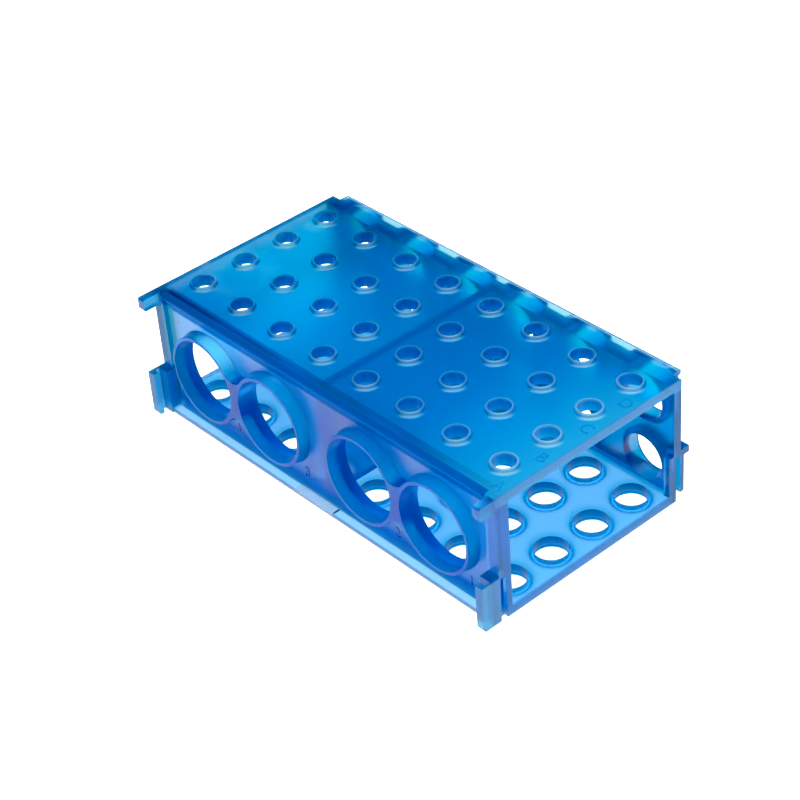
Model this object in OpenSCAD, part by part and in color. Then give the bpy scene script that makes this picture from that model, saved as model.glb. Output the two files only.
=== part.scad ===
// Microcentrifuge tube rack, four ways up, moulded in one piece.
// A rectangular tube, open at both ends, whose four sides each hold another size of tube.
// It lies on the rims of the collars under its bottom plate. X runs along the length,
// -Y is the side with the large holes, and the origin is the middle of the footprint.

/* [Body] */
// Length between the open ends
length = 172; // [150:1:200]
// Depth from the front of the clips to the rims of the back collars
depth = 95.7; // [88:0.1:110]
// Height over the collars of both plates
height = 51.8; // [48:0.1:60]
// Thickness of the plates, the walls and the divider
wall = 3.4; // [2.8:0.1:4]
// How far the top plate's lip and the end bands stand out past the front wall
front_lip = 1.8; // [1:0.1:3]
// Thickness of the top plate's lip
lip_t = 2.7; // [2:0.1:3.4]
// Rounding along the front lip
lip_r = 1.2; // [0.5:0.1:1.3]
// How far the ledge and the clips' blocks stand out of the front wall
ledge_w = 5; // [3:0.1:6]
// Thickness of the front ledge and of the top plate's back lip
ledge_t = 1.9; // [1.2:0.1:3]
// Radius of the cove between such a ledge and its wall
cove_r = 6; // [3:0.5:9]
// Rounding along the back edges of the plates
edge_r = 0.7; // [0.3:0.1:1.2]
// Width of the upright band at each end of the front wall
band_w = 5; // [3:0.5:8]

/* [Holes in the plates] */
// Columns of holes along the length
columns = 8; // [4:1:10]
// Rows of holes from front to back
rows = 4; // [2:1:5]
// Spacing of the columns
pitch_x = 21.5; // [18:0.5:24]
// Spacing of the rows
pitch_y = 19.05; // [17:0.05:22]
// Bore in the top plate, for 0.5 mL tubes
small_d = 8; // [6:0.1:9]
// Bore in the bottom plate, for 1.5 mL and 2 mL tubes
micro_d = 12; // [10.5:0.1:13]
// How far the low collars stand out of both plates
plate_collar = 1.2; // [0.6:0.1:2]

/* [Holes in the walls] */
// Bore in the front wall, for 50 mL tubes
fifty_d = 30.8; // [29:0.1:33]
// Distance from the divider to the inner large hole
fifty_x = 23.4; // [20:0.1:26]
// Distance between the two large holes of a pair
fifty_pitch = 35.4; // [34:0.1:38]
// How far the large holes sit below the middle of the wall
fifty_drop = 0.4; // [0:0.1:1.5]
// How far the large collars stand out of the front wall
fifty_collar = 4.6; // [2:0.1:5]
// Rounding of the mouth of each large hole
mouth_r = 0.3; // [0.2:0.1:1]
// Bore in the back wall, for 15 mL tubes
fifteen_d = 17.4; // [16.5:0.1:19]
// Distance from the divider to the first column of the back wall
fifteen_x = 12.5; // [11:0.1:14]
// Spacing of the columns of the back wall
fifteen_pitch = 29.7; // [26:0.1:31]
// Spacing of the two rows of the back wall
fifteen_row = 24.9; // [22:0.1:26]
// How far the back collars and both plates stand out past the back wall
fifteen_collar = 4.1; // [2:0.1:5]

/* [Clips and rails] */
// How far the clips reach in front of the large collars
clip_reach = 4.2; // [3:0.1:6]
// Thickness of a clip's upright bar, from front to back
clip_bar = 2.2; // [1.5:0.1:3]
// Width of a clip's upright bar
clip_w = 3.3; // [2.5:0.1:5]
// Thickness of the neck between the bar and its block
clip_neck = 1.3; // [1:0.1:2]
// Width of the block that carries the clip
block_w = 5.6; // [5:0.1:11]
// Height of the clips above the bottom plate's lower face
clip_h = 17.8; // [12:0.1:24]
// Width of the slot between a clip's block and the front wall
slot_w = 1.6; // [1:0.1:2]
// Thickness of the rail's flange
flange = 1.65; // [1.2:0.05:2.5]
// Width of the rebate at each end of the walls, where a neighbour's clip passes
rebate_w = 2.2; // [1:0.1:3]
// Depth of the hooks at the upper corners, from their top face
hook_h = 4.8; // [4:0.1:8]
// Rounding of the hooks' tips
hook_r = 0.8; // [0.3:0.1:1.5]

/* [Hidden] */
$fn = 48;
over = 1;                                  // how far a cutter runs past a face
half = length / 2;
under_z = plate_collar;                    // lower face of the bottom plate
deck_z = height - plate_collar;            // upper face of the top plate
mid_z = height / 2;
ledge_y = clip_reach - depth / 2;          // front of the clips' blocks
front_y = ledge_y + ledge_w;               // outer face of the front wall
back_rim_y = depth / 2;
back_y = back_rim_y - fifteen_collar;      // outer face of the back wall
grid_y = (front_y + back_y) / 2;
clip_y = -depth / 2;
clip_z = under_z + clip_h;                 // top of the clips, their blocks and the rails
notch_w = clip_w + 0.7;                    // room that a neighbour's clip and hook need
slot_z = clip_z - 0.4;                     // top of the slot behind each clip's block
rim_edge = 0.3;                            // rounding of every collar's rim
bite = 0.06;                               // overlap of a valley with the collars beside it
flare_steps = 6;
purple_blue = [0.02, 0.5, 0.83];

// Rim radius and base radius of each kind of collar.
small_rim = small_d / 2 + 0.8;
small_base = small_d / 2 + 1.2;
micro_rim = micro_d / 2 + 0.7;
micro_base = micro_d / 2 + 2.2;
fifty_rim = fifty_d / 2 + 1.5;
fifty_base = fifty_d / 2 + 2.1;
fifteen_rim = fifteen_d / 2 + 1.4;
fifteen_base = fifteen_d / 2 + 1.9;

// Flank of a collar: a quarter ellipse, level where it leaves the wall and upright at
// the rim, then the rounded edge of the rim.
function flank(rim, base, rise) = concat(
    [for (i = [0:flare_steps])
        let (a = 90 * i / flare_steps)
        [base - (base - rim) * sin(a), (rise - rim_edge) * (1 - cos(a))]],
    [[rim - rim_edge * 0.3, rise - rim_edge * 0.3],
     [rim - rim_edge, rise]]);

// A solid collar on the plane Z = 0, rooted a little way into the wall.
module collar(rim, base, rise) {
    root = -wall / 2;
    rotate_extrude()
        polygon(concat([[0, rise], [0, root], [base, root]], flank(rim, base, rise)));
}

// Cutter for the valley between two collars, the counterpart of their flanks. It bites
// into them a little, so that the surfaces cross instead of only touching.
module valley(reach, rim, base, rise) {
    side = [for (p = flank(rim, base, rise)) [reach + bite - p[0], p[1]]];
    rotate_extrude()
        polygon(concat([[0, rise + over], [0, -over], [side[0][0], -over]], side,
                       [[side[len(side) - 1][0], rise + over]]));
}

// Bore of a large hole, with a rounded mouth.
module fifty_bore() {
    r = fifty_d / 2;
    translate([0, 0, -wall - over]) cylinder(r = r, h = wall + fifty_collar + 2 * over);
    rotate_extrude()
        difference() {
            translate([0, fifty_collar - mouth_r]) square([r + mouth_r, mouth_r + over]);
            translate([r + mouth_r - bite / 2, fifty_collar - mouth_r + bite / 2])
                circle(r = mouth_r);
        }
}

module rounded_bar(from, to, r) {
    translate([from[0] + r, from[1]]) square([to[0] - from[0] - 2 * r, to[1] - from[1]]);
    translate([from[0], from[1] + r]) square([to[0] - from[0], to[1] - from[1] - 2 * r]);
    for (x = [from[0] + r, to[0] - r], y = [from[1] + r, to[1] - r])
        translate([x, y]) circle(r = r);
}

// Ledge at the foot of a wall whose outer face is at zero, with a cove that runs up
// into the wall.
module ledge(reach) {
    foot = 1.7;
    rise = sqrt(cove_r * cove_r - (cove_r - foot) * (cove_r - foot));
    rounded_bar([-reach, 0], [wall, ledge_t], 0.4);
    translate([-foot, ledge_t - 0.5])
        difference() {
            square([foot + wall, rise + 0.5]);
            translate([foot - cove_r + bite / 2, rise + 0.5]) circle(r = cove_r);
        }
}

// Section across the length: two plates with lips, joined by the front and back walls.
module section() {
    rounded_bar([front_y + wall / 2, under_z], [back_rim_y, under_z + wall], edge_r);
    rounded_bar([front_y + wall / 2, deck_z - wall], [back_y - wall / 2, deck_z], edge_r);
    rounded_bar([front_y - front_lip, deck_z - lip_t], [front_y + wall, deck_z], lip_r);
    translate([front_y, under_z]) ledge(ledge_w - 0.3);
    translate([back_y, deck_z]) rotate(180) ledge(fifteen_collar);
    translate([front_y, under_z + ledge_t / 2])
        square([wall, deck_z - lip_t / 2 - under_z - ledge_t / 2]);
    translate([back_y - wall, under_z + edge_r])
        square([wall, deck_z - under_z - 2 * edge_r]);
}

module along_x(width) {
    rotate([90, 0, 90]) linear_extrude(width) children();
}

module both_ends() {
    children();
    mirror([1, 0, 0]) children();
}

module at_grid(z) {
    for (c = [0:columns - 1], r = [0:rows - 1])
        translate([(c - (columns - 1) / 2) * pitch_x, grid_y + (r - (rows - 1) / 2) * pitch_y, z])
            children();
}

module at_front() {
    for (side = [-1, 1], i = [0, 1])
        translate([side * (fifty_x + i * fifty_pitch), front_y, mid_z - fifty_drop])
            rotate([90, 0, 0]) children();
}

module at_back() {
    for (side = [-1, 1], i = [0:2], row = [-0.5, 0.5])
        translate([side * (fifteen_x + i * fifteen_pitch), back_y, mid_z + row * fifteen_row])
            rotate([-90, 0, 0]) children();
}

// Flat web that joins the rims of a pair of large collars, with a rounded valley
// above and below it.
module web() {
    valley_h = 13;
    reach = norm([fifty_pitch / 2, valley_h]);
    translate([fifty_x + fifty_pitch / 2, front_y, mid_z - fifty_drop]) rotate([90, 0, 0])
        difference() {
            linear_extrude(fifty_collar)
                polygon([[-fifty_pitch / 2, 0], [0, -valley_h], [fifty_pitch / 2, 0], [0, valley_h]]);
            for (s = [-1, 1])
                translate([0, s * valley_h, 0]) valley(reach, fifty_rim, fifty_base, fifty_collar);
        }
}

// Lands that carry the upper collars of the back wall up into the top plate's lip.
module lands() {
    foot = fifteen_base - 0.4;
    tip = fifteen_rim - 0.7;
    for (side = [-1, 1], i = [0:2])
        translate([side * (fifteen_x + i * fifteen_pitch), back_y, mid_z + fifteen_row / 2])
            linear_extrude(deck_z - ledge_t / 2 - mid_z - fifteen_row / 2)
                polygon([[-foot, -1], [-foot, 0], [-tip, fifteen_collar - 0.3],
                         [tip, fifteen_collar - 0.3], [foot, 0], [foot, -1]]);
}

// Block at the lower end of the front wall, with the clip in front of it.
module clip() {
    translate([half - block_w, ledge_y, under_z])
        cube([block_w, ledge_w + wall / 2, clip_h]);
    translate([half - clip_neck, clip_y + clip_bar / 2, under_z])
        cube([clip_neck, clip_reach, clip_h]);
    translate([half - clip_w, 0, 0]) along_x(clip_w)
        polygon([[clip_y, clip_z], [clip_y, under_z + 0.8], [clip_y + 0.6, under_z],
                 [clip_y + clip_bar, under_z], [clip_y + clip_bar, clip_z]]);
}

// Slot between a clip's block and the front wall, open below and at the end, where a
// rebate in the wall widens it.
module clip_slot() {
    translate([half - band_w, front_y - slot_w, -over])
        cube([band_w + over, slot_w, slot_z + over]);
    translate([half - rebate_w + 0.6, front_y - slot_w / 2, -over])
        cube([rebate_w + over, slot_w / 2 + 1.25, slot_z + over]);
}

// Square arm at the upper corner that drops into a neighbour's notch. A cove leads from
// its underside into the end band.
module hook() {
    tip = clip_y + 0.6;
    band_y = front_y - front_lip;
    cove = 1.6;
    translate([half - clip_w, 0, 0]) along_x(clip_w) {
        rounded_bar([tip, deck_z - hook_h], [band_y + wall, deck_z], hook_r);
        difference() {
            translate([band_y - cove, deck_z - hook_h - cove]) square([cove + 0.5, cove + 0.5]);
            translate([band_y - cove + bite / 2, deck_z - hook_h - cove]) circle(r = cove);
        }
    }
}

// Rail at the lower end of the back wall: a neck on the last collar and a flange that
// a neighbour's clip slides behind, with a tab over the gap and a pad inside the wall.
module rail() {
    last_x = fifteen_x + 2 * fifteen_pitch;
    neck_end = half - notch_w;
    translate([last_x, back_y - 1, under_z + wall / 2])
        cube([neck_end - last_x, fifteen_collar + 1, clip_h - wall / 2]);
    translate([last_x, back_rim_y - flange, under_z])
        cube([neck_end + 1.8 - last_x, flange, clip_h]);
    translate([neck_end - 1, back_y - 1, clip_z])
        cube([notch_w + 1, fifteen_collar + 1, 2.6]);
    translate([half - rebate_w - 0.3, back_y - wall - 2.2, under_z + wall / 2])
        cube([rebate_w + 0.3, wall, clip_h]);
}

module body() {
    difference() {
        union() {
            translate([-half, 0, 0]) along_x(length) section();
            both_ends() clip();
        }
        both_ends() {
            clip_slot();
            for (z = [-over, deck_z - cove_r - ledge_t])
                translate([half - notch_w, back_y, z])
                    cube([notch_w + over, fifteen_collar + over, cove_r + ledge_t + over]);
            translate([half - rebate_w, back_y - 2.2, -over])
                cube([rebate_w + over, fifteen_collar + 2.2 + over, clip_z + over]);
        }
    }
    translate([-wall / 2, front_y, under_z + wall / 2])
        cube([wall, back_y - front_y - wall / 2, deck_z - under_z - wall]);
    both_ends() {
        translate([half - band_w, front_y - front_lip, slot_z])
            cube([band_w, front_lip + wall / 2, deck_z - wall / 2 - slot_z]);
        hook();
        rail();
    }
}

module rack() {
    color(purple_blue)
    difference() {
        union() {
            body();
            at_grid(deck_z) collar(small_rim, small_base, plate_collar);
            at_grid(under_z) mirror([0, 0, 1]) collar(micro_rim, micro_base, plate_collar);
            at_front() collar(fifty_rim, fifty_base, fifty_collar);
            both_ends() web();
            at_back() collar(fifteen_rim, fifteen_base, fifteen_collar);
            lands();
        }
        at_grid(deck_z - wall - over) cylinder(d = small_d, h = wall + plate_collar + 2 * over);
        at_grid(-over) cylinder(d = micro_d, h = wall + plate_collar + 2 * over);
        at_front() fifty_bore();
        at_back() translate([0, 0, -wall - over])
            cylinder(d = fifteen_d, h = wall + fifteen_collar + 2 * over);
    }
}

rack();
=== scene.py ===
"""Looks for a microcentrifuge tube rack in translucent blue polypropylene.

The rack itself is the CAD solid. This script gives it its plastic, adds the moulded
numerals and letters that tell the holes apart and a few flaws of the moulding, and sets
the floor, the lights and the camera. Lengths are in metres, in the frame of the CAD
model: X along the rack, -Y towards the large holes, +Z up.
"""

import math
from types import SimpleNamespace

import bmesh
import bpy
from bpy.props import FloatProperty, PointerProperty, StringProperty
from mathutils import Matrix, Vector


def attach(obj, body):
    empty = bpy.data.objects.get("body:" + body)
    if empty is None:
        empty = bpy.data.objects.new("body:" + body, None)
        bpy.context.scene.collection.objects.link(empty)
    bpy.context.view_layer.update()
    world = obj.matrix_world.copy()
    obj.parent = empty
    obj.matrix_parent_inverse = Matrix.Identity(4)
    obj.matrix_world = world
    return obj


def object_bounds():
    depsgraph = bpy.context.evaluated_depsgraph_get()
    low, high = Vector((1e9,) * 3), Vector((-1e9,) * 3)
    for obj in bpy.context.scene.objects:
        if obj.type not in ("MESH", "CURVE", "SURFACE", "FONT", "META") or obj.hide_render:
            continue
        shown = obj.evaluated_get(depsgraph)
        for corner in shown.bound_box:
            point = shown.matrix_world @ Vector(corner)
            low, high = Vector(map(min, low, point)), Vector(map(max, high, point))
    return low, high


bl_info = {
    "name": "Tube rack finish",
    "version": (1, 0, 0),
    "blender": (4, 5, 0),
    "location": "View3D > Sidebar > Rack",
    "description": "Plastic, position marks, flaws, floor, lights and camera for a tube rack",
    "category": "Object",
}

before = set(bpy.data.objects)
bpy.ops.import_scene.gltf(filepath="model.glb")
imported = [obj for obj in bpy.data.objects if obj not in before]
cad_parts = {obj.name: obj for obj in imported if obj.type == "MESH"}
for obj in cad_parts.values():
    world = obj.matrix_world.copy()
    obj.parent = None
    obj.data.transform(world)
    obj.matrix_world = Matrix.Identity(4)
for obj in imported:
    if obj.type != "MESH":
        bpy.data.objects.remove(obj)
CAD_LOW, CAD_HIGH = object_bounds()
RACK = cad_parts["rack"]

# Faces of the moulding, as the CAD model has them. Plates and walls are one WALL thick.
WALL = 0.0034
END_X = CAD_HIGH[0]  # open end
BLOCK_X = END_X - 0.0056  # inner side of the blocks that carry the clips
BAND_X = END_X - 0.0050  # inner side of the upright bands of the front wall
DECK_Z = CAD_HIGH[2] - 0.0012  # upper face of the top plate, which its collars stand on
CEILING_Z = DECK_Z - WALL
HOOK_Z = DECK_Z - 0.0048  # lower end of the hooks
BASE_Z = CAD_LOW[2] + 0.0012  # lower face of the bottom plate, over its collars
FLOOR_Z = BASE_Z + WALL
LEDGE_Z = BASE_Z + 0.0019  # top of the front ledge
CLIP_Z = BASE_Z + 0.0178  # top of the clips
LEDGE_Y = CAD_LOW[1] + 0.0042  # front of the ledge and of the clips' blocks
FRONT_WALL_Y = LEDGE_Y + 0.0050
LIP_Y = FRONT_WALL_Y - 0.0018  # front of the top plate's lip
BAY_FRONT_Y = FRONT_WALL_Y + WALL
BACK_WALL_Y = CAD_HIGH[1] - 0.0041
BAY_BACK_Y = BACK_WALL_Y - WALL

# Large holes: distances from the divider, height of the axis and radius of the bore
LARGE_X = (0.0234, 0.0588)
LARGE_Z = 0.0255
LARGE_R = 0.0154
# Holes in the plates: spacing along and across the rack, middle of the grid and radii
PITCH_X = 0.0215
PITCH_Y = 0.01905
GRID_Y = (FRONT_WALL_Y + BACK_WALL_Y) / 2
TOP_HOLE_R = 0.0040
BASE_HOLE_R = 0.0060

CATCH_SIDE = (0.77, -0.64, 0)  # direction towards which a highlight is painted low on the near side of each small collar
CLOUD_W = 0.0143  # width of a cloudy patch in the top plate
CAPITAL = 0.7  # height of a capital in Blender's own font, as a share of the font's size
OVERLAP = 0.000001  # points of a character that lie closer than this are one


def hex_to_linear(code):
    """Linear colour, with full alpha, of an sRGB colour written as six hex digits."""
    parts = [int(code[i : i + 2], 16) / 255 for i in (0, 2, 4)]
    return (*(c / 12.92 if c <= 0.04045 else ((c + 0.055) / 1.055) ** 2.4 for c in parts), 1)


def add_node(tree, kind, settings):
    """Adds a node with its settings, which name its properties and inputs. A socket given
    for an input is linked to it."""
    node = tree.nodes.new(kind)
    for name, value in settings.items():
        if isinstance(value, bpy.types.NodeSocket):
            tree.links.new(value, node.inputs[name])
        elif isinstance(name, int) or name in node.inputs:
            node.inputs[name].default_value = value
        else:
            setattr(node, name, value)
    return node


def new_material(name):
    """A material with an empty node tree."""
    material = bpy.data.materials.new(name)
    material.use_nodes = True
    material.node_tree.nodes.clear()
    return material


def hex_setting(name, description, default):
    """A colour that a user can change."""
    return StringProperty(name=name, description=f"{description}, as sRGB hex", default=default)


def share_setting(name, description, default):
    """A share from 0 to 1 that a user can change."""
    return FloatProperty(
        name=name, description=description, default=default, min=0, max=1, subtype="FACTOR"
    )


class RackPlasticSettings(bpy.types.PropertyGroup):
    """The plastic. A tint is what white light keeps in a place, on top of the other tints there. A
    gloss tints what the skin mirrors, and a bloom is flat diffuse colour on the skin, in places what
    the pigment throws back. Several tints, glosses and blooms hold painted shade, painted reflections
    and painted highlights, as their comments say."""

    wall: FloatProperty(
        name="Wall",
        description="Wall thickness that the tint belongs to",
        default=WALL,
        unit="LENGTH",
    )
    tint: hex_setting("Tint", "Colour that white light keeps after one wall", "7CCCF3")
    roughness: share_setting(
        "Roughness", "Roughness of the moulded skin, which blurs what lies behind it", 0.3
    )
    milk: share_setting(
        "Milkiness", "Share of the light that the cloudy plastic scatters on its way in", 0.25
    )
    milk_tint: hex_setting("Milk tint", "Colour of the scattered light", "80D0FF")
    # Painted reflection colour: this blue gloss on the top plate, the lip, the large collars, the
    # bores and the foot of the front wall dims the white floor and sky that they mirror
    gloss: hex_setting("Gloss", "Colour of the gloss where the pigment is deep", "0090FF")

    # Top plate
    # Painted shade: the top plate is tinted deeper than one wall, for the dim blue light that reaches
    # it through the rack; the tint is weaker at its left end
    top_shade_tint: hex_setting("Top tint", "Tint of the top plate", "40FFFF")
    top_bloom: share_setting("Top bloom", "Share that the top plate throws back", 0.15)
    top_bloom_tint: hex_setting("Top bloom tint", "Colour that the top plate throws back", "00AAEC")
    # Painted light: the right end of the top plate throws back a brighter cyan, for the light that
    # comes in at the open end
    right_light_bloom: share_setting("Right bloom", "Share that its right end adds to that", 0.3)
    right_light_bloom_tint: hex_setting("Right bloom tint", "Colour thrown back there", "40C8F0")
    far_tint: hex_setting("Far tint", "Tint of the left part of the top plate", "FFC4C6")
    near_tint: hex_setting("Near tint", "Tint of its near left corner", "FFC4EC")
    edge_tint: hex_setting("Edge tint", "Tint of its left edge", "ECFCE8")
    rear_tint: hex_setting("Rear tint", "Tint of its rear edge", "ECF4D8")
    rear_gloss: hex_setting("Rear gloss", "Colour of the gloss along its rear edge", "70C4E8")
    # Painted shade: the top plate's front edge is darkened where the front wall stands under it
    band_shade_tint: hex_setting("Band tint", "Tint of its front edge", "FF70B4")
    haze: share_setting("Haze", "Share that the cloudy patches at its left end throw back", 0.25)
    haze_tint: hex_setting("Haze tint", "Colour of the cloudy patches", "78D0F0")
    # Painted shade: a navy stripe across the front lip and the top of the front wall under it, with a
    # mid blue on the lip's underside
    lip_shade_tint: hex_setting("Lip tint", "Tint of the front lip", "0090CC")
    lip_shade_bloom: share_setting("Lip bloom", "Share that the front lip throws back", 0.6)
    lip_shade_bloom_tint: hex_setting("Lip bloom tint", "Colour that the front lip throws back", "005CB4")
    under_shade_bloom: share_setting("Under bloom", "Share that the lip's underside throws back", 0.4)
    under_shade_bloom_tint: hex_setting("Under bloom tint", "Colour that it throws back", "2090D8")
    # Painted highlight: a pale line on the thin rims of the small collars
    rim_highlight_bloom: share_setting(
        "Rim bloom", "Share that the thin rims of the small collars throw back", 0.02
    )
    rim_highlight_bloom_tint: hex_setting("Rim bloom tint", "Colour that those rims throw back", "8CDCFF")
    # Painted highlight: a pale crescent low on the near side of each small collar
    catch: share_setting(
        "Catch", "Share of light caught low on the near side of each small collar", 0.45
    )
    catch_tint: hex_setting("Catch tint", "Colour of that light", "9CE4FF")

    # Bottom plate
    base_milk_tint: hex_setting(
        "Base milk tint", "Colour of the scattered light in the bottom plate", "D8E6EC"
    )
    halo_tint: hex_setting("Halo tint", "Tint of the bottom plate round its holes", "8CE0E0")
    # Painted shade: the low collars under the rack are darker where they stand on the floor
    foot_shade_tint: hex_setting("Foot tint", "Tint of the low collars under the rack", "70A8C0")
    # Painted shade: the walls of the holes in the bottom plate get a deeper tint, a blue gloss and a
    # deep blue cover, for the shade inside the holes
    well_shade_tint: hex_setting("Well tint", "Tint of the holes in the bottom plate", "90D4E4")
    well_shade_gloss: hex_setting("Well gloss", "Colour of the gloss in those holes", "50B0E0")
    well_shade_bloom: share_setting("Well bloom", "Share that those holes throw back", 0.35)
    well_shade_bloom_tint: hex_setting("Well bloom tint", "Colour that they throw back", "0070C0")

    # Walls
    front_tint: hex_setting("Front tint", "Tint of the front wall", "E0FAFF")
    # Painted shade: the front of the rack darkens towards its left end
    left_shade_tint: hex_setting("Left tint", "Tint of the left end of the front wall", "ECDEDC")
    # Painted shade: the foot of the front wall, just above the ledge, is darker
    toe_shade_tint: hex_setting("Toe tint", "Tint of the foot of the front wall", "74CCF4")
    # Painted reflection: a lavender blue strip on the front wall by the divider, for the white floor
    # that the wall mirrors
    seam_reflection_bloom: share_setting(
        "Seam bloom", "Share that the front wall throws back before the divider", 0.35
    )
    seam_reflection_bloom_tint: hex_setting("Seam bloom tint", "Colour that it throws back there", "5080D8")
    # Painted shade: the large collars are tinted deeper, for the dimmer light that reaches them
    ring_shade_tint: hex_setting("Ring tint", "Tint of the large collars", "98FCFF")
    # Painted shade: the bores of the large holes get a deeper tint, a blue gloss and a deep blue
    # cover, for the shade inside them
    bore_shade_tint: hex_setting("Bore tint", "Tint of the bores of the large holes", "D8F0FF")
    bore_shade_bloom: share_setting("Bore bloom", "Share that the large bores throw back", 0.3)
    bore_shade_bloom_tint: hex_setting("Bore bloom tint", "Colour that they throw back", "0050B0")
    # Painted shade: the back wall is tinted much deeper, for the dim inside of the rack that shows
    # through it
    back_shade_tint: hex_setting("Back tint", "Tint of the back wall", "30AECB")

    # Ends
    post_tint: hex_setting("Post tint", "Tint of the upright strip at the left end", "E0F0DC")
    post_gloss: hex_setting("Post gloss", "Colour of the gloss on that strip", "60BCE8")
    post_bloom: share_setting("Post bloom", "Share that the strip throws back", 0.1)
    post_bloom_tint: hex_setting("Post bloom tint", "Colour that it throws back", "3A98C0")
    tip_tint: hex_setting("Tip tint", "Tint of the end faces", "A8D8E8")
    tip_gloss: hex_setting("Tip gloss", "Colour of the gloss on the end faces", "70D0E8")
    tip_bloom: share_setting("Tip bloom", "Share that the end faces throw back", 0.15)
    tip_bloom_tint: hex_setting("Tip bloom tint", "Colour that they throw back", "70C0E0")
    end_tint: hex_setting("End tint", "Tint and gloss of the end faces below the top plate", "80B8E4")
    clip_tint: hex_setting("Clip tint", "Tint of the clips and hooks", "C4ECEC")
    clip_gloss: hex_setting("Clip gloss", "Colour of the gloss on the clips and hooks", "98C8F0")
    clip_bloom: share_setting("Clip bloom", "Share that the clips throw back", 0.04)
    clip_bloom_tint: hex_setting("Clip bloom tint", "Colour that they throw back", "90E8FF")
    block_tint: hex_setting("Block tint", "Tint of the blocks that carry the clips", "68A0DC")


class RackMarkSettings(bpy.types.PropertyGroup):
    """The moulded numerals and letters, and the flaws"""

    numeral: FloatProperty(
        name="Numeral height",
        description="Height of the numerals under the large holes",
        default=0.0040,
        unit="LENGTH",
    )
    letter: FloatProperty(
        name="Letter height",
        description="Height of the row letters at the right end of the top plate",
        default=0.0046,
        unit="LENGTH",
    )
    raised: FloatProperty(
        name="Raised",
        description="How far the marks stand out of the plastic",
        default=0.0002,
        unit="LENGTH",
    )
    rooted: FloatProperty(
        name="Rooted",
        description="How far the marks reach into the plastic",
        default=0.00005,
        unit="LENGTH",
    )
    # Painted shade: the numerals are dark blue, for the shade that their moulded edges make in the
    # wall
    numeral_shade_colour: hex_setting("Numeral colour", "Colour of the numerals", "0A50B4")
    # Painted highlight: the row letters are a faint pale blue, for the light on their moulded edges
    letter_highlight_colour: hex_setting("Letter colour", "Colour of the row letters", "1E96E6")
    # Painted highlight: the raised run is a faint white
    run_highlight_colour: hex_setting("Run colour", "Colour of the raised run on the ledge", "FFFFFF")
    # Painted shade: the nick is a dark blue box, for the shade of the run's edge
    nick_shade_colour: hex_setting("Nick colour", "Colour of the nick at its end", "28609A")
    speck_colour: hex_setting("Speck colour", "Colour of the darkened resin", "103870")


class RackStageSettings(bpy.types.PropertyGroup):
    """The floor, the light and the picture's colours"""

    floor_colour: hex_setting("Floor colour", "Colour of the floor", "FFFFFF")
    glow: FloatProperty(
        name="Floor glow", description="Light that the floor gives, as a light table", default=1.3
    )
    sky: FloatProperty(
        name="Sky", description="Strength of the even light from all round", default=0.04
    )
    red_toe: FloatProperty(
        name="Red toe", description="Level under which the picture drops red", default=0.02
    )
    key: FloatProperty(
        name="Key light", description="Power of the large soft light", default=20.0, unit="POWER"
    )


def mask(tree, *ramps):
    """A value that is 1 in one part of the moulding and 0 elsewhere.

    It is the product of ramps. Each ramp is (value, low, high) and rises from 0 to 1 while
    the value goes from low to high, or it is another mask.
    """
    product = None
    for ramp in ramps:
        if isinstance(ramp, tuple):
            value, low, high = ramp
            step = add_node(
                tree, "ShaderNodeMapRange", {"Value": value, "From Min": low, "From Max": high}
            )
            ramp = step.outputs["Result"]
        if product is None:
            product = ramp
        else:
            step = add_node(
                tree, "ShaderNodeMath", {"operation": "MULTIPLY", 0: product, 1: ramp}
            )
            product = step.outputs["Value"]
    return product


def tinted(tree, kind, colour, *tints):
    """Works tints into a colour. Each is (mask, hex) and holds where its mask is 1. The kind
    is MULTIPLY for a pigment that the light passes, or MIX for one that covers the colour."""
    for where, code in tints:
        step = add_node(
            tree,
            "ShaderNodeMix",
            {"data_type": "RGBA", "blend_type": kind, 0: where, 6: colour, 7: hex_to_linear(code)},
        )
        colour = step.outputs[2]
    return colour


def from_large_hole(tree, place):
    """Distance of a place from the axis of the nearest large hole."""
    middle = sum(LARGE_X) / 2
    # Mirrored at the divider and then at the middle of a pair, all large holes are one.
    for shift in ((middle, 0, LARGE_Z), (LARGE_X[1] - middle, 0, 0)):
        mirrored = add_node(tree, "ShaderNodeVectorMath", {"operation": "ABSOLUTE", 0: place})
        moved = add_node(
            tree,
            "ShaderNodeVectorMath",
            {"operation": "SUBTRACT", 0: mirrored.outputs["Vector"], 1: shift},
        )
        place = moved.outputs["Vector"]
    flat = add_node(
        tree, "ShaderNodeVectorMath", {"operation": "MULTIPLY", 0: place, 1: (1, 0, 1)}
    )
    length = add_node(
        tree, "ShaderNodeVectorMath", {"operation": "LENGTH", 0: flat.outputs["Vector"]}
    )
    return length.outputs["Value"]


def from_plate_hole(tree, place):
    """Distance of a place from the axis of the nearest hole in the plates, and how much of it runs
    towards the side where a highlight is painted."""
    moved = add_node(
        tree,
        "ShaderNodeVectorMath",
        {"operation": "SUBTRACT", 0: place, 1: (PITCH_X / 2, GRID_Y + PITCH_Y / 2, 0)},
    )
    # Wrapped from half a spacing on one side to half a spacing on the other, and flat.
    wrapped = add_node(
        tree,
        "ShaderNodeVectorMath",
        {
            "operation": "WRAP",
            0: moved.outputs["Vector"],
            1: (PITCH_X / 2, PITCH_Y / 2, 0),
            2: (-PITCH_X / 2, -PITCH_Y / 2, 0),
        },
    )
    offset = wrapped.outputs["Vector"]
    length = add_node(tree, "ShaderNodeVectorMath", {"operation": "LENGTH", 0: offset})
    along = add_node(
        tree, "ShaderNodeVectorMath", {"operation": "DOT_PRODUCT", 0: offset, 1: CATCH_SIDE}
    )
    return length.outputs["Value"], along.outputs["Value"]


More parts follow.
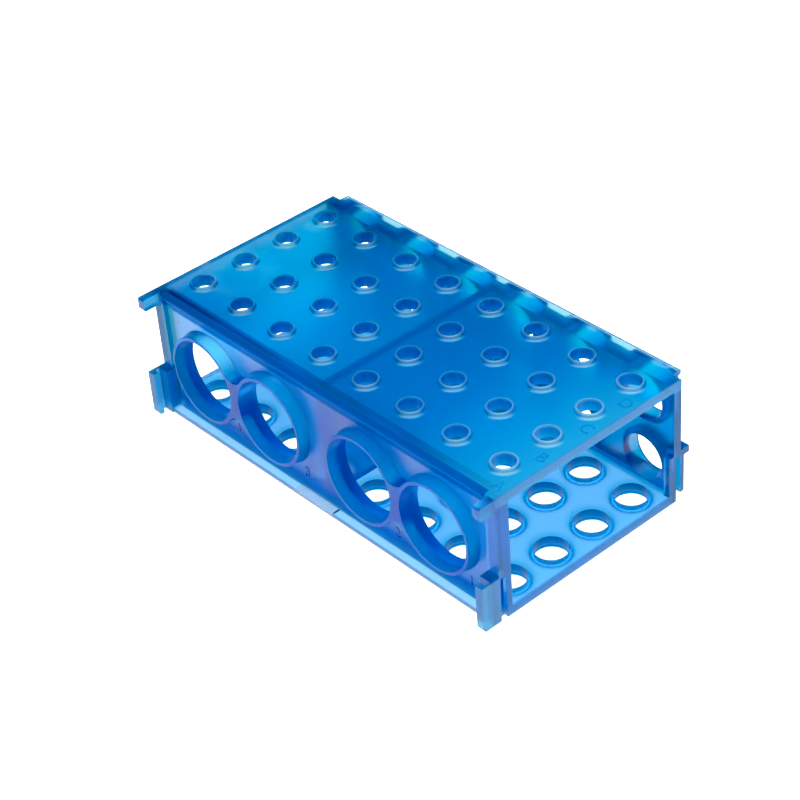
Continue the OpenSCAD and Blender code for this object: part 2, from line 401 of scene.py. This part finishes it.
def measures(tree):
    """What the masks of the moulding are made from, and the stretches that they share."""
    at = SimpleNamespace()
    where = add_node(tree, "ShaderNodeTexCoord", {})
    place = where.outputs["Object"]
    at.x, at.y, at.z = add_node(tree, "ShaderNodeSeparateXYZ", {"Vector": place}).outputs
    facing = add_node(tree, "ShaderNodeSeparateXYZ", {"Vector": where.outputs["Normal"]})
    at.up = facing.outputs["Z"]
    at.level = add_node(
        tree, "ShaderNodeMath", {"operation": "ABSOLUTE", 0: at.up}
    ).outputs["Value"]
    # Distance from the divider, the same for both halves
    at.out = add_node(
        tree, "ShaderNodeMath", {"operation": "ABSOLUTE", 0: at.x}
    ).outputs["Value"]
    at.radius = from_large_hole(tree, place)
    at.reach, at.catching = from_plate_hole(tree, place)
    at.clouds = add_node(
        tree,
        "ShaderNodeTexNoise",
        {
            "Vector": place,
            "Scale": 1 / CLOUD_W,
            "Detail": 2.0,
            "Roughness": 0.5,
            "Distortion": 0.6,
        },
    ).outputs["Fac"]

    at.plate = mask(tree, (at.z, CEILING_Z - 0.0008, CEILING_Z))
    at.floor = mask(tree, (at.z, FLOOR_Z + 0.0007, FLOOR_Z + 0.0002))
    at.fore = mask(tree, (at.y, BAY_FRONT_Y + 0.00075, BAY_FRONT_Y + 0.00015))
    at.inner = mask(tree, (at.out, END_X - 0.0004, END_X - 0.0008))
    at.between_bands = mask(tree, (at.out, BAND_X + 0.0005, BAND_X))
    at.between_clips = mask(tree, (at.out, BAND_X - 0.0025, BAND_X - 0.0035))
    return at


def mask_top_plate(tree, at):
    """Masks for the top plate, its lip and its collars, and for the shade and highlights painted on
    them.
    """
    deck = mask(
        tree,
        at.plate,
        (at.y, BACK_WALL_Y + 0.00125, BACK_WALL_Y + 0.00025),
        (at.y, LIP_Y - 0.00045, LIP_Y - 0.00005),
    )
    # The colour shifts along and across the plate, so these fade in over some centimetres. The deep
    # tint of the whole top plate is painted shade, and the brighter right end is painted light.
    at.top = mask(tree, deck, (at.x, -END_X - 0.007, -END_X + 0.009))
    at.main = mask(tree, at.top, (at.x, -0.075, -0.010))
    at.right = mask(tree, at.top, at.inner, (at.x, 0.045, 0.084), (at.y, 0.034, 0.024))
    at.far = mask(tree, deck, (at.x, -0.030, -0.055))
    at.near = mask(tree, at.top, (at.x, -0.025, -0.050), (at.y, -0.005, -0.033))
    at.edge = mask(tree, deck, (at.x, -END_X + 0.016, -END_X + 0.002))
    at.rear = mask(tree, at.plate, (at.y, 0.033, 0.036))
    at.haze = mask(
        tree,
        deck,
        (at.clouds, 0.45, 0.65),
        (at.x, -0.050, -0.080),
        (at.y, 0.030, 0.024),
        (at.y, -0.033, -0.028),
    )
    # Painted shade along the top plate's front edge, over the front wall
    at.band = mask(
        tree,
        at.plate,
        at.between_bands,
        (at.y, BAY_FRONT_Y + 0.00015, BAY_FRONT_Y - 0.00025),
    )
    # Painted shade: a dark stripe across the front lip and the top of the front wall
    at.lip = mask(
        tree,
        at.between_bands,
        (at.z, HOOK_Z - 0.0018, HOOK_Z - 0.0010),
        (at.y, FRONT_WALL_Y + 0.00065, FRONT_WALL_Y + 0.00005),
    )
    # Painted shade on the underside of the lip
    at.under = mask(tree, at.lip, (at.up, -0.2, -0.5))
    # Painted highlight on the rims of the small collars
    at.rims = mask(tree, (at.z, DECK_Z + 0.0001, DECK_Z + 0.0005))
    # Painted highlight: a crescent low on the near side of each small collar
    at.catch = mask(
        tree,
        (at.z, DECK_Z - 0.0006, DECK_Z - 0.0002),
        (at.reach, TOP_HOLE_R + 0.0001, TOP_HOLE_R + 0.0004),
        (at.reach, TOP_HOLE_R + 0.0025, TOP_HOLE_R + 0.0010),
        (at.catching, TOP_HOLE_R - 0.0010, TOP_HOLE_R + 0.0010),
    )


def mask_bottom_plate(tree, at):
    """Masks for the bottom plate, its holes and the plastic round them, and its collars."""
    bays = mask(
        tree,
        (at.y, BAY_FRONT_Y - 0.00175, BAY_FRONT_Y - 0.00075),
        (at.y, BAY_BACK_Y - 0.00035, BAY_BACK_Y - 0.00135),
    )
    at.base = mask(tree, at.floor, (at.z, BASE_Z - 0.0002, BASE_Z + 0.0001))
    # Painted shade on the low collars that stand on the floor
    at.feet = mask(tree, (at.z, BASE_Z + 0.0001, BASE_Z - 0.0002))
    # Painted shade on the walls of the holes in the bottom plate
    at.wells = mask(
        tree, at.floor, bays, (at.level, 0.9, 0.3), (at.out, END_X - 0.0008, END_X - 0.0010)
    )
    at.halo = mask(
        tree, at.floor, bays, (at.reach, BASE_HOLE_R + 0.0035, BASE_HOLE_R + 0.0010)
    )


def mask_walls(tree, at):
    """Masks for the front wall, its foot, its collars and bores, and the back wall."""
    standing = mask(tree, at.fore, (at.z, FLOOR_Z + 0.0004, FLOOR_Z + 0.0014))
    at.front = mask(tree, standing, (at.y, FRONT_WALL_Y - 0.00045, FRONT_WALL_Y - 0.00015))
    # Painted shade towards the left end of the front
    at.left = mask(tree, standing, (at.x, -0.050, -0.070))
    # Painted reflection of the floor on the front wall by the divider
    at.seam = mask(
        tree,
        at.front,
        (at.x, -0.006, -0.002),
        (at.x, 0.010, 0.006),
        (at.z, HOOK_Z - 0.0008, HOOK_Z - 0.0038),
    )
    # Painted shade at the foot of the front wall, above the ledge
    at.toe = mask(
        tree,
        at.between_clips,
        (at.y, FRONT_WALL_Y + 0.00025, FRONT_WALL_Y - 0.00005),
        (at.z, FLOOR_Z + 0.0034, FLOOR_Z + 0.0014),
        (at.z, LEDGE_Z - 0.0001, LEDGE_Z + 0.0003),
    )
    # Painted shade on the large collars
    at.rings = mask(
        tree,
        at.between_clips,
        (at.y, FRONT_WALL_Y - 0.00005, FRONT_WALL_Y - 0.00035),
        (at.z, FLOOR_Z + 0.0009, FLOOR_Z + 0.0029),
        (at.z, HOOK_Z + 0.0002, HOOK_Z - 0.0008),
    )
    # Painted shade in the bores of the large holes
    at.bores = mask(tree, at.fore, (at.radius, LARGE_R + 0.0004, LARGE_R + 0.0002))
    # Painted shade on the back wall
    at.back = mask(
        tree,
        (at.y, BAY_BACK_Y - 0.00115, BAY_BACK_Y - 0.00015),
        (at.z, CEILING_Z + 0.0003, CEILING_Z - 0.0007),
    )


def mask_ends(tree, at):
    """Masks for the end faces, the upright strip at the left end, the clips and the hooks."""
    at.post = mask(
        tree,
        at.fore,
        (at.x, -BAND_X + 0.0035, -BAND_X + 0.0025),
        (at.z, HOOK_Z + 0.0002, HOOK_Z - 0.0003),
        (at.z, CLIP_Z + 0.0015, CLIP_Z + 0.0025),
    )
    at.tips = mask(tree, (at.out, END_X - 0.0008, END_X - 0.0004))
    at.ends = mask(tree, at.tips, (at.z, CEILING_Z - 0.0006, CEILING_Z - 0.0012))
    at.clips = mask(
        tree,
        (at.y, FRONT_WALL_Y + 0.00005, FRONT_WALL_Y - 0.00025),
        (at.out, BLOCK_X - 0.0009, BLOCK_X + 0.0001),
    )
    at.low_clips = mask(tree, at.clips, (at.z, CLIP_Z + 0.0040, CLIP_Z + 0.0020))
    at.blocks = mask(
        tree,
        at.clips,
        (at.y, LEDGE_Y - 0.00035, LEDGE_Y + 0.00005),
        (at.z, CLIP_Z + 0.0015, CLIP_Z + 0.0010),
    )


def clear_colour(tree, at, settings):
    """What the pigment lets through the skin. Many of these tints are painted shade: the top plate,
    its front edge and lip, the low collars, the holes and bores, the foot and left end of the front,
    the large collars and the back wall are darkened.
    """
    return tinted(
        tree,
        "MULTIPLY",
        hex_to_linear("FFFFFF"),
        (at.top, settings.top_shade_tint),
        (at.far, settings.far_tint),
        (at.near, settings.near_tint),
        (at.edge, settings.edge_tint),
        (at.rear, settings.rear_tint),
        (at.tips, settings.tip_tint),
        (at.toe, settings.toe_shade_tint),
        (at.wells, settings.well_shade_tint),
        (at.halo, settings.halo_tint),
        (at.ends, settings.end_tint),
        (at.band, settings.band_shade_tint),
        (at.back, settings.back_shade_tint),
        (at.rings, settings.ring_shade_tint),
        (at.bores, settings.bore_shade_tint),
        (at.lip, settings.lip_shade_tint),
        (at.feet, settings.foot_shade_tint),
        (at.front, settings.front_tint),
        (at.left, settings.left_shade_tint),
        (at.post, settings.post_tint),
        (at.clips, settings.clip_tint),
        (at.blocks, settings.block_tint),
    )


def gloss_colour(tree, at, settings):
    """What the skin mirrors. The blue glosses on the top plate, lip, large collars, bores, foot of
    the front wall and the holes of the bottom plate are painted: they dim the white floor and sky
    mirrored there.
    """
    return tinted(
        tree,
        "MULTIPLY",
        hex_to_linear("FFFFFF"),
        (mask(tree, at.top, at.inner), settings.gloss),
        (at.lip, settings.gloss),
        (at.rings, settings.gloss),
        (at.bores, settings.gloss),
        (at.post, settings.post_gloss),
        (at.clips, settings.clip_gloss),
        (at.rear, settings.rear_gloss),
        (at.tips, settings.tip_gloss),
        (at.ends, settings.end_tint),
        (at.toe, settings.gloss),
        (at.wells, settings.well_shade_gloss),
    )


def milk_colour(tree, at, settings):
    """What the cloudy plastic scatters. It is paler in the bottom plate, and deeper where the top
    plate, back wall, large collars, bores and lip carry painted shade.
    """
    milk = hex_to_linear(settings.milk_tint)
    milk = tinted(tree, "MIX", milk, (at.base, settings.base_milk_tint))
    return tinted(
        tree,
        "MULTIPLY",
        milk,
        (at.top, settings.top_shade_tint),
        (at.back, settings.back_shade_tint),
        (at.rings, settings.ring_shade_tint),
        (at.bores, settings.bore_shade_tint),
        (at.lip, settings.lip_shade_tint),
        (at.post, settings.post_tint),
        (at.clips, settings.clip_tint),
    )


def bloom_colour(tree, at, settings):
    """Colour and share of flat diffuse colour on the skin. On the top plate, the strip at the left
    end, the end faces, the cloudy patches and the clips it is what pigment near the skin throws back
    before the light gets inside. At the top plate's right end it is painted light; on the lip, its
    underside, the holes of the bottom plate and the large bores, painted shade; by the divider, a
    painted reflection; on the rims and near sides of the small collars, painted highlights."""
    colour = hex_to_linear(settings.top_bloom_tint)
    share = 0.0
    for where, amount, code in (
        (at.main, settings.top_bloom, settings.top_bloom_tint),
        (at.right, settings.right_light_bloom, settings.right_light_bloom_tint),
        (at.tips, settings.tip_bloom, settings.tip_bloom_tint),
        (at.haze, settings.haze, settings.haze_tint),
        (at.lip, settings.lip_shade_bloom, settings.lip_shade_bloom_tint),
        (at.under, settings.under_shade_bloom, settings.under_shade_bloom_tint),
        (at.wells, settings.well_shade_bloom, settings.well_shade_bloom_tint),
        (at.post, settings.post_bloom, settings.post_bloom_tint),
        (at.low_clips, settings.clip_bloom, settings.clip_bloom_tint),
        (at.seam, settings.seam_reflection_bloom, settings.seam_reflection_bloom_tint),
        (at.bores, settings.bore_shade_bloom, settings.bore_shade_bloom_tint),
        (at.rims, settings.rim_highlight_bloom, settings.rim_highlight_bloom_tint),
        (at.catch, settings.catch, settings.catch_tint),
    ):
        colour = tinted(tree, "MIX", colour, (where, code))
        total = add_node(
            tree, "ShaderNodeMath", {"operation": "MULTIPLY_ADD", 0: where, 1: amount, 2: share}
        )
        share = total.outputs["Value"]
    return colour, share


def fading(tree, settings):
    """Fading of the light inside the plastic, so quick that one wall leaves the tint."""
    least = 0.02  # of a colour that the tint has none of
    kept = [max(part, least) for part in hex_to_linear(settings.tint)[:3]]
    rates = [-math.log(part) / settings.wall for part in kept]
    density = max(rates)
    return add_node(
        tree,
        "ShaderNodeVolumeAbsorption",
        {"Color": (*(1 - rate / density for rate in rates), 1), "Density": density},
    )


def polypropylene(settings):
    """Injection-moulded polypropylene, pigmented blue and clear enough to see through.

    Light loses its red within one wall, so an edge or a double wall looks deeper than a single one,
    and the fine skin of the mould blurs what lies further behind. Painted shade, painted reflections
    and painted highlights are laid into its colours in places.
    """
    material = new_material("moulded polypropylene")
    tree = material.node_tree
    at = measures(tree)
    for mask_parts in (mask_top_plate, mask_bottom_plate, mask_walls, mask_ends):
        mask_parts(tree, at)

    skin = add_node(
        tree,
        "ShaderNodeBsdfPrincipled",
        {
            "Base Color": clear_colour(tree, at, settings),
            "Specular Tint": gloss_colour(tree, at, settings),
            "Roughness": settings.roughness,
            "IOR": 1.49,
            "Transmission Weight": 1.0,
        },
    )
    milk = add_node(
        tree, "ShaderNodeBsdfTranslucent", {"Color": milk_colour(tree, at, settings)}
    )
    cloudy = add_node(
        tree,
        "ShaderNodeMixShader",
        {0: settings.milk, 1: skin.outputs["BSDF"], 2: milk.outputs["BSDF"]},
    )
    # Flat diffuse colour, which holds painted light, shade, reflections and highlights in places
    colour, share = bloom_colour(tree, at, settings)
    bloom = add_node(tree, "ShaderNodeBsdfDiffuse", {"Color": colour})
    surface = add_node(
        tree,
        "ShaderNodeMixShader",
        {0: share, 1: cloudy.outputs["Shader"], 2: bloom.outputs["BSDF"]},
    )
    add_node(
        tree,
        "ShaderNodeOutputMaterial",
        {
            "Surface": surface.outputs["Shader"],
            "Volume": fading(tree, settings).outputs["Volume"],
        },
    )
    return material


class RACK_OT_plastic(bpy.types.Operator):
    """Give the rack its translucent plastic"""

    bl_idname = "rack.plastic"
    bl_label = "Rack plastic"

    def execute(self, context):
        material = polypropylene(context.scene.rack_plastic)
        RACK.data.materials.clear()
        RACK.data.materials.append(material)
        return {"FINISHED"}


def mark_plastic(name, code, roughness, opacity):
    """A flat colour that one can partly see through, for a fine ridge, nick or speck. The numerals
    and the nick are painted shade, the letters and the raised run painted highlights, and the specks
    darkened resin.
    """
    material = new_material(name)
    shader = add_node(
        material.node_tree,
        "ShaderNodeBsdfPrincipled",
        {"Base Color": hex_to_linear(code), "Roughness": roughness, "Alpha": opacity},
    )
    add_node(
        material.node_tree, "ShaderNodeOutputMaterial", {"Surface": shader.outputs["BSDF"]}
    )
    return material


def box(low, high):
    """A closed box between two corners."""
    bm = bmesh.new()
    bmesh.ops.create_cube(bm, size=1)
    bmesh.ops.scale(bm, vec=Vector(high) - Vector(low), verts=bm.verts)
    bmesh.ops.translate(bm, vec=(Vector(low) + Vector(high)) / 2, verts=bm.verts)
    return bm


def moulded(name, bm, material):
    """Makes one piece of the rack out of a bmesh, which it frees."""
    mesh = bpy.data.meshes.new(name)
    bm.to_mesh(mesh)
    bm.free()
    mesh.materials.append(material)
    piece = bpy.data.objects.new(name, mesh)
    bpy.context.scene.collection.objects.link(piece)
    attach(piece, "root")


def raised_text(name, characters, height, depth, material):
    """One piece of moulded characters. Each is (text, matrix): its middle lands at the
    matrix's origin, it reads along the matrix's X and stands out along its Z."""
    bm = bmesh.new()
    for text, place in characters:
        curve = bpy.data.curves.new("character", "FONT")
        curve.body = text
        curve.size = height / CAPITAL
        curve.extrude = depth / 2
        curve.resolution_u = 4
        curve.align_x = "CENTER"
        curve.align_y = "CENTER"
        glyph = bpy.data.objects.new("character", curve)
        mesh = glyph.to_mesh()
        mesh.transform(place)
        bm.from_mesh(mesh)
        glyph.to_mesh_clear()
        bpy.data.objects.remove(glyph)
        bpy.data.curves.remove(curve)
    bmesh.ops.remove_doubles(bm, verts=bm.verts, dist=OVERLAP)
    bmesh.ops.recalc_face_normals(bm, faces=bm.faces)
    moulded(name, bm, material)


class RACK_OT_numerals(bpy.types.Operator):
    """Mould the numerals that count the large holes"""

    bl_idname = "rack.numerals"
    bl_label = "Numerals"

    def execute(self, context):
        settings = context.scene.rack_marks
        depth = settings.raised + settings.rooted
        middle_y = FRONT_WALL_Y - depth / 2 + settings.rooted
        upright = Matrix.Rotation(math.radians(90), 4, "X")
        # Each with its place along the rack and its height
        places = (
            ("4", -0.0473, 0.0087),
            ("3", -0.0097, 0.0087),
            ("2", 0.0360, 0.0081),
            ("1", 0.0710, 0.0081),
        )
        characters = [
            (text, Matrix.Translation((x, middle_y, z)) @ upright) for text, x, z in places
        ]
        # Painted shade: dark blue numerals, for the shade along their moulded edges
        material = mark_plastic("moulded numeral", settings.numeral_shade_colour, 0.35, 0.85)
        raised_text("numerals", characters, settings.numeral, depth, material)
        return {"FINISHED"}


class RACK_OT_letters(bpy.types.Operator):
    """Mould the letters that name the rows of small holes"""

    bl_idname = "rack.letters"
    bl_label = "Row letters"

    def execute(self, context):
        settings = context.scene.rack_marks
        depth = settings.raised + settings.rooted
        middle_z = DECK_Z + depth / 2 - settings.rooted
        column_x = END_X - 0.0043
        # Each with its place across the rack
        rows = (("A", -0.0350), ("B", -0.0162), ("C", 0.0038), ("D", 0.0218))
        characters = [(text, Matrix.Translation((column_x, y, middle_z))) for text, y in rows]
        # Painted highlight: faint pale blue letters, for the light on their moulded edges
        material = mark_plastic("moulded letter", settings.letter_highlight_colour, 0.2, 0.35)
        raised_text("row_letters", characters, settings.letter, depth, material)
        return {"FINISHED"}


class RACK_OT_flaws(bpy.types.Operator):
    """Leave the small flaws of the moulding"""

    bl_idname = "rack.flaws"
    bl_label = "Flaws"

    def execute(self, context):
        settings = context.scene.rack_marks
        # Short raised run on the front ledge, rooted in it, and the nick at its right end
        foot = LEDGE_Z - 0.0003
        top = LEDGE_Z + 0.0003
        run = box((-0.0118, LEDGE_Y + 0.00005, foot), (0.0080, LEDGE_Y + 0.00365, top))
        # Painted highlight: the run is a faint white, for the light along it
        material = mark_plastic("raised run", settings.run_highlight_colour, 0.4, 0.25)
        moulded("raised_run", run, material)
        nick = box(
            (0.0078, LEDGE_Y + 0.00065, foot), (0.0083, LEDGE_Y + 0.00315, top + 0.00005)
        )
        # Painted shade: the nick at the run's end is a dark blue box, for the shade of its edge
        material = mark_plastic("edge of the raised run", settings.nick_shade_colour, 0.4, 0.7)
        moulded("nick", nick, material)

        # Specks of darkened resin, each with its place in the skin and its radius
        bm = bmesh.new()
        for place, radius in (
            ((-0.0842, -0.0403, 0.0423), 0.0003),
            ((-0.0756, -0.0386, 0.0406), 0.00022),
            ((-0.0312, -0.0293, 0.0045), 0.0002),
            ((0.0674, 0.0109, 0.0045), 0.0002),
        ):
            bmesh.ops.create_icosphere(
                bm, subdivisions=2, radius=radius, matrix=Matrix.Translation(place)
            )
        material = mark_plastic("darkened resin", settings.speck_colour, 0.4, 0.85)
        moulded("specks", bm, material)
        return {"FINISHED"}


def lose_red(view, toe):
    """Bends the picture's red, as film loses the last of the red in deep blue plastic. An
    eighth of it is left at the toe, and nearly all from three times the toe on."""
    view.use_curve_mapping = True
    red = view.curve_mapping.curves[0]
    red.points.new(toe, toe * 0.12)
    red.points.new(toe * 3, toe * 2.8)
    view.curve_mapping.update()


def light_table(colour, glow):
    """An opal floor lit from below, which gives the plastic light to show its colour by."""
    material = new_material("lit opal floor")
    shader = add_node(
        material.node_tree,
        "ShaderNodeBsdfPrincipled",
        {
            "Base Color": hex_to_linear(colour),
            "Roughness": 0.9,
            "Specular IOR Level": 0.0,
            "Emission Color": hex_to_linear("FFFFFF"),
            "Emission Strength": glow,
        },
    )
    add_node(
        material.node_tree, "ShaderNodeOutputMaterial", {"Surface": shader.outputs["BSDF"]}
    )
    return material


class RACK_OT_stage(bpy.types.Operator):
    """Lay the floor and set the lights and the camera"""

    bl_idname = "rack.stage"
    bl_label = "Stage"

    def execute(self, context):
        settings = context.scene.rack_stage
        scene = context.scene
        scene.view_settings.view_transform = "Standard"
        lose_red(scene.view_settings, settings.red_toe)

        # The floor reaches far past the rack, so that a low view has no dark horizon.
        reach = 30
        mesh = bpy.data.meshes.new("floor")
        bm = bmesh.new()
        bmesh.ops.create_grid(bm, x_segments=1, y_segments=1, size=reach)
        bm.to_mesh(mesh)
        bm.free()
        mesh.materials.append(light_table(settings.floor_colour, settings.glow))
        floor = bpy.data.objects.new("floor", mesh)
        scene.collection.objects.link(floor)

        world = bpy.data.worlds.new("soft room")
        world.use_nodes = True
        sky = world.node_tree.nodes["Background"]
        sky.inputs["Color"].default_value = hex_to_linear("FFFFFF")
        sky.inputs["Strength"].default_value = settings.sky
        scene.world = world

        # A wide soft box straight above the rack, which shines down as it is made
        key = bpy.data.lights.new("key", "AREA")
        key.energy = settings.key
        key.size = 1.6
        lamp = bpy.data.objects.new("key", key)
        lamp.location = (0, 0, 1.1)
        scene.collection.objects.link(lamp)

        # A long lens to the front right, looking down on the rack
        heading = Matrix.Rotation(math.radians(50.370), 4, "Z")
        tilt = Matrix.Rotation(math.radians(90 - 36.296), 4, "X")
        roll = Matrix.Rotation(math.radians(-4.684), 4, "Z")
        data = bpy.data.cameras.new("camera")
        data.sensor_width = 36
        data.lens = 99.21
        data.clip_start = 0.05
        data.clip_end = 20
        camera = bpy.data.objects.new("camera", data)
        camera.matrix_world = (
            Matrix.Translation((0.46894, -0.39172, 0.47223)) @ heading @ tilt @ roll
        )
        scene.collection.objects.link(camera)
        scene.camera = camera
        return {"FINISHED"}


class RACK_PT_panel(bpy.types.Panel):
    """The rack's finish, in the order that it is made"""

    bl_label = "Tube rack"
    bl_space_type = "VIEW_3D"
    bl_region_type = "UI"
    bl_category = "Rack"

    def draw(self, context):
        for step in STEPS:
            self.layout.operator(step.bl_idname)


STEPS = (
    RACK_OT_plastic,
    RACK_OT_numerals,
    RACK_OT_letters,
    RACK_OT_flaws,
    RACK_OT_stage,
)
CLASSES = (RackPlasticSettings, RackMarkSettings, RackStageSettings, *STEPS, RACK_PT_panel)


def register():
    for cls in CLASSES:
        bpy.utils.register_class(cls)
    bpy.types.Scene.rack_plastic = PointerProperty(type=RackPlasticSettings)
    bpy.types.Scene.rack_marks = PointerProperty(type=RackMarkSettings)
    bpy.types.Scene.rack_stage = PointerProperty(type=RackStageSettings)


def unregister():
    del bpy.types.Scene.rack_stage
    del bpy.types.Scene.rack_marks
    del bpy.types.Scene.rack_plastic
    for cls in reversed(CLASSES):
        bpy.utils.unregister_class(cls)


def main():
    register()
    for step in STEPS:
        area, name = step.bl_idname.split(".")
        getattr(getattr(bpy.ops, area), name)()


if __name__ == "__main__":
    main()
